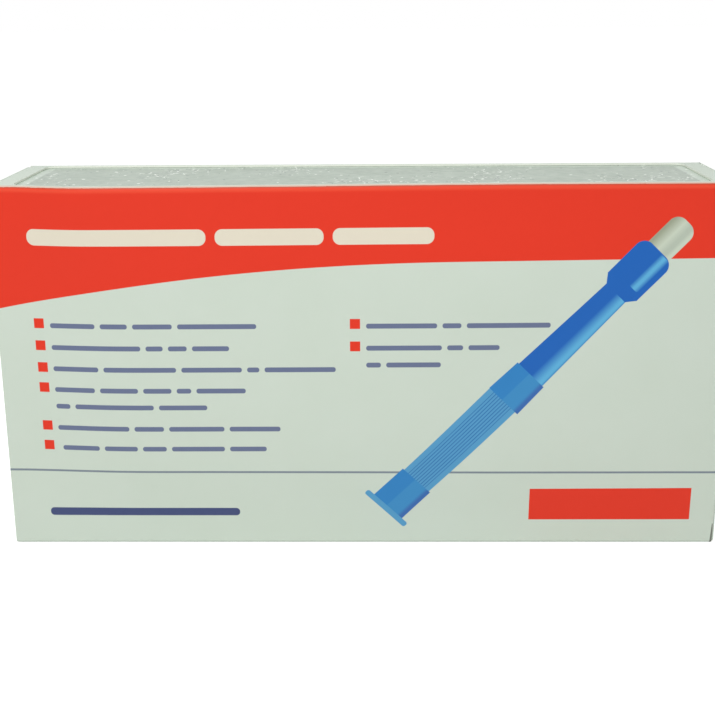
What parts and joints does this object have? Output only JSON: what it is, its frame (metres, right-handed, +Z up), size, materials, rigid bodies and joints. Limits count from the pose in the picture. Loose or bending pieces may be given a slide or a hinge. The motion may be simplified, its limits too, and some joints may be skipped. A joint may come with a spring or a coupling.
{
  "type": "folding carton",
  "caption": "Long folding carton with a tuck flap at each end and a window in its top, holding sealed packs of skin biopsy punches in rows.",
  "frame": {"origin": "middle of the flat base of the carton, between the base's four creases", "axes": "+X along the carton to the right, +Y from the printed front panel to the back, +Z up"},
  "size_m": [0.18, 0.0421, 0.0926],
  "materials": {
    "carton_board": "printed and coated, satin",
    "window_film": "clear, slightly crinkled",
    "tray_plastic": "clear, thermoformed",
    "peel_lid_paper": "matte, crinkled",
    "handle_plastic": "moulded, satin",
    "cutter_steel": "drawn tube, satin"
  },
  "bodies": {
    "carton": {"carton_body": "carton_board", "window_film": "window_film", "handle_01": "handle_plastic", "handle_02": "handle_plastic", "handle_03": "handle_plastic", "handle_04": "handle_plastic", "handle_05": "handle_plastic", "handle_06": "handle_plastic", "handle_07": "handle_plastic", "handle_08": "handle_plastic", "handle_09": "handle_plastic", "handle_10": "handle_plastic", "cutter_01": "cutter_steel", "cutter_02": "cutter_steel", "cutter_03": "cutter_steel", "cutter_04": "cutter_steel", "cutter_05": "cutter_steel", "cutter_06": "cutter_steel", "cutter_07": "cutter_steel", "cutter_08": "cutter_steel", "cutter_09": "cutter_steel", "cutter_10": "cutter_steel", "tray_01": "tray_plastic", "tray_02": "tray_plastic", "tray_03": "tray_plastic", "tray_04": "tray_plastic", "tray_05": "tray_plastic", "tray_06": "tray_plastic", "tray_07": "tray_plastic", "tray_08": "tray_plastic", "tray_09": "tray_plastic", "tray_10": "tray_plastic", "peel_lid_01": "peel_lid_paper", "peel_lid_02": "peel_lid_paper", "peel_lid_03": "peel_lid_paper", "peel_lid_04": "peel_lid_paper", "peel_lid_05": "peel_lid_paper", "peel_lid_06": "peel_lid_paper", "peel_lid_07": "peel_lid_paper", "peel_lid_08": "peel_lid_paper", "peel_lid_09": "peel_lid_paper", "peel_lid_10": "peel_lid_paper"},
    "left_flap": {"left_end_flap": "carton_board"},
    "right_flap": {"right_end_flap": "carton_board"}
  },
  "joints": [
    {"name": "left_flap_hinge", "type": "hinge", "parent": "carton", "child": "left_flap", "pos_m": [-0.09, -0.0193, 0.0463], "axis": [0, 0, 1], "range_deg": [0, 160]},
    {"name": "right_flap_hinge", "type": "hinge", "parent": "carton", "child": "right_flap", "pos_m": [0.09, 0.0193, 0.0463], "axis": [0, 0, 1], "range_deg": [0, 160]}
  ]
}
